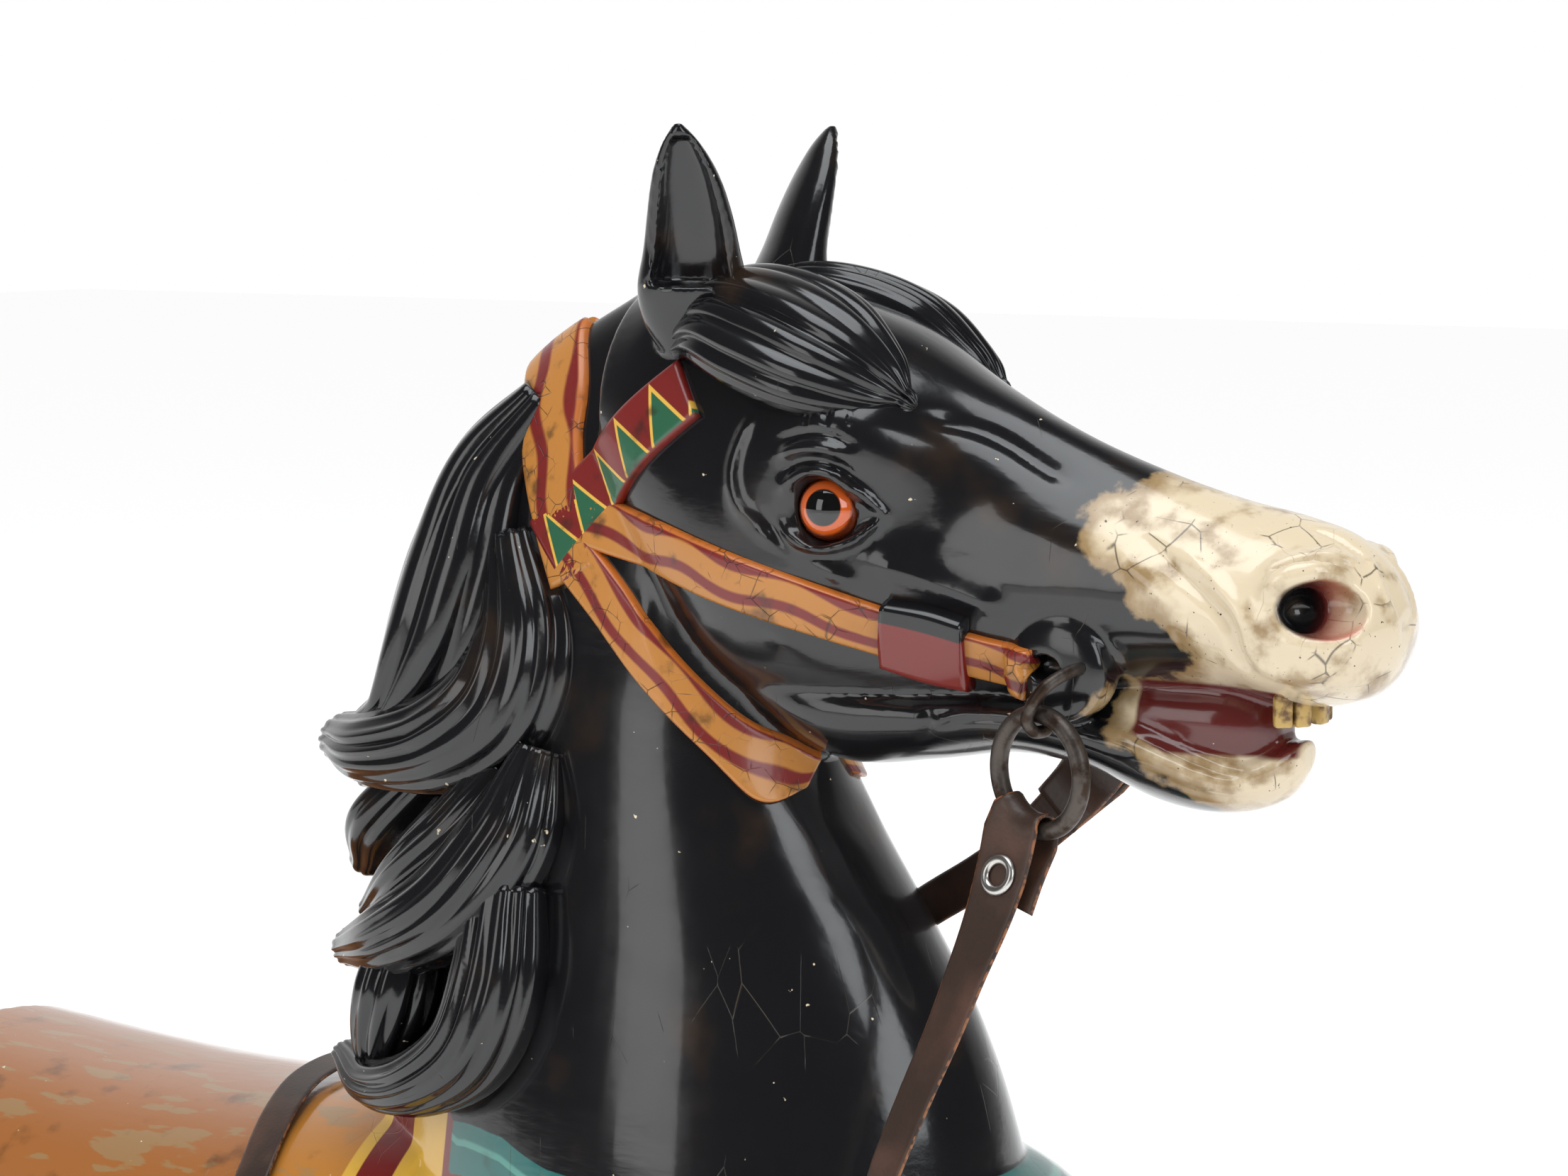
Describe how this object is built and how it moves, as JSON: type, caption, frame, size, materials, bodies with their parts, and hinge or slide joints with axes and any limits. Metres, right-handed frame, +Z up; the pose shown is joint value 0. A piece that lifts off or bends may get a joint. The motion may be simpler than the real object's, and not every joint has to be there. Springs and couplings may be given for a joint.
{
  "type": "carousel horse bust",
  "caption": "Carved and painted carousel horse's head, neck and shoulders, cut flat below, with glass eyes, iron bit rings and a leather rein",
  "frame": {"origin": "on the flat underside, on the middle plane, between the fore and hind halves of the shoulders", "axes": "+X towards the nose and the longest extent, +Y towards the horse's left, +Z up"},
  "size_m": [0.972, 0.3418, 0.6968],
  "materials": {
    "painted_carving": "thick gloss paint, cracked and worn",
    "eye_glass": "polished",
    "iron": "worn dark brown-grey",
    "rein_leather": "worn, with raw torn edges",
    "eyelet_metal": "plated, dull"
  },
  "bodies": {
    "root": {"horse": "painted_carving", "eye_right": "eye_glass", "eye_left": "eye_glass", "bit_hook_right": "iron", "bit_hook_left": "iron", "rein_ring_right": "iron", "rein_ring_left": "iron", "rein": "rein_leather", "rein_eyelet_right": "eyelet_metal", "rein_eyelet_left": "eyelet_metal"}
  },
  "joints": []
}
